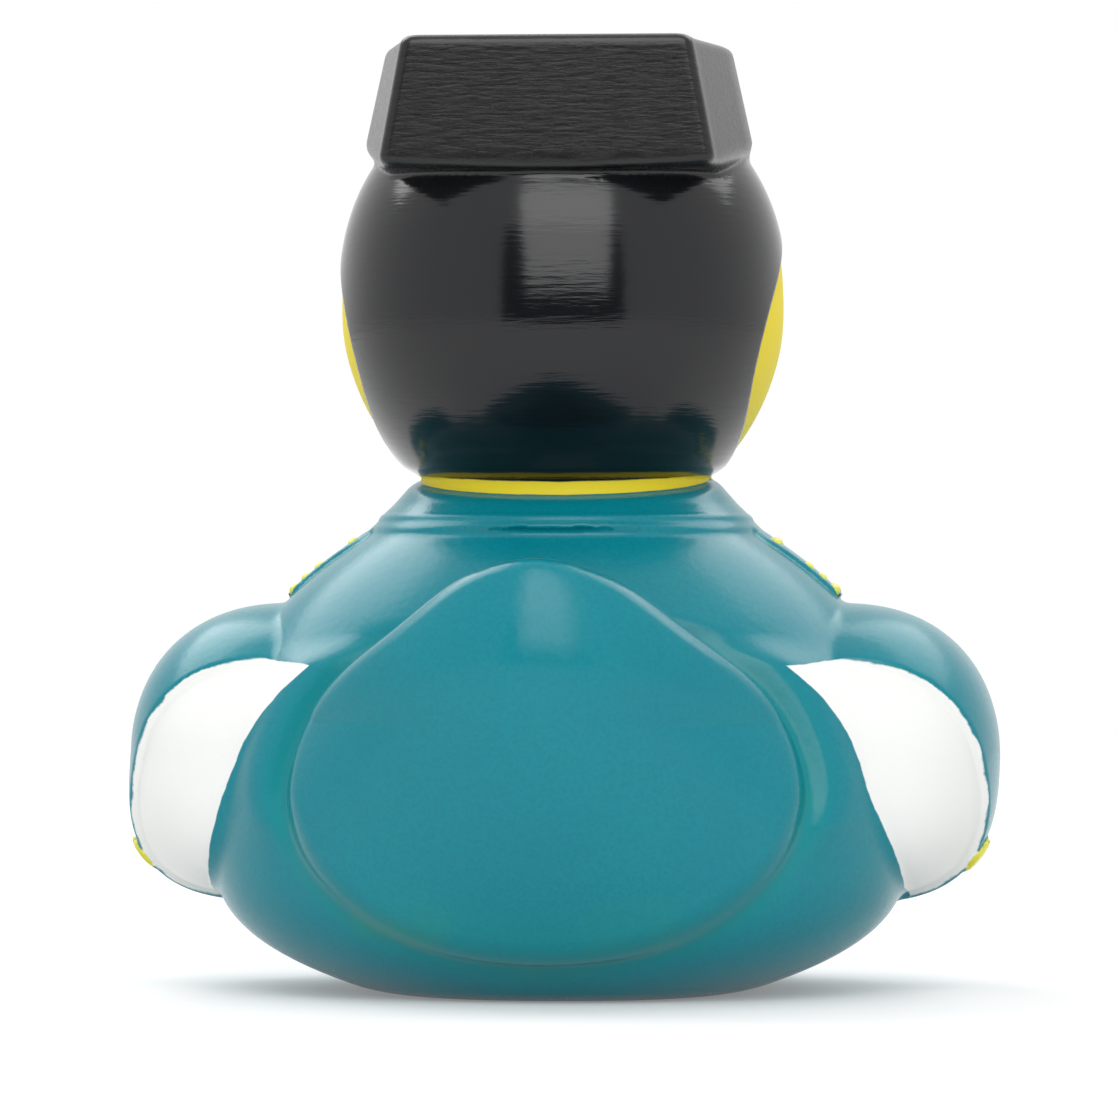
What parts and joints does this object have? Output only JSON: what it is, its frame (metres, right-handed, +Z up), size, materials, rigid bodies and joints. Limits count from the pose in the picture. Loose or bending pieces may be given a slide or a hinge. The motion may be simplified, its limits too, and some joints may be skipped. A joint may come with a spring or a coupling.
{
  "type": "rubber duck",
  "caption": "Hollow moulded bath duck in a bullfighter's hat and jacket, with folded wings, an upswept tail and a flat base to stand on.",
  "frame": {"origin": "on the flat base, under the middle of the duck's outer box", "axes": "+Z up through the hat, -Y the way the duck faces, +X towards its left wing"},
  "size_m": [0.0862, 0.074, 0.0926],
  "materials": {
    "painted_vinyl": "soft moulded vinyl with hand-painted semi-gloss colours"
  },
  "bodies": {
    "root": {"duck": "painted_vinyl"}
  },
  "joints": []
}
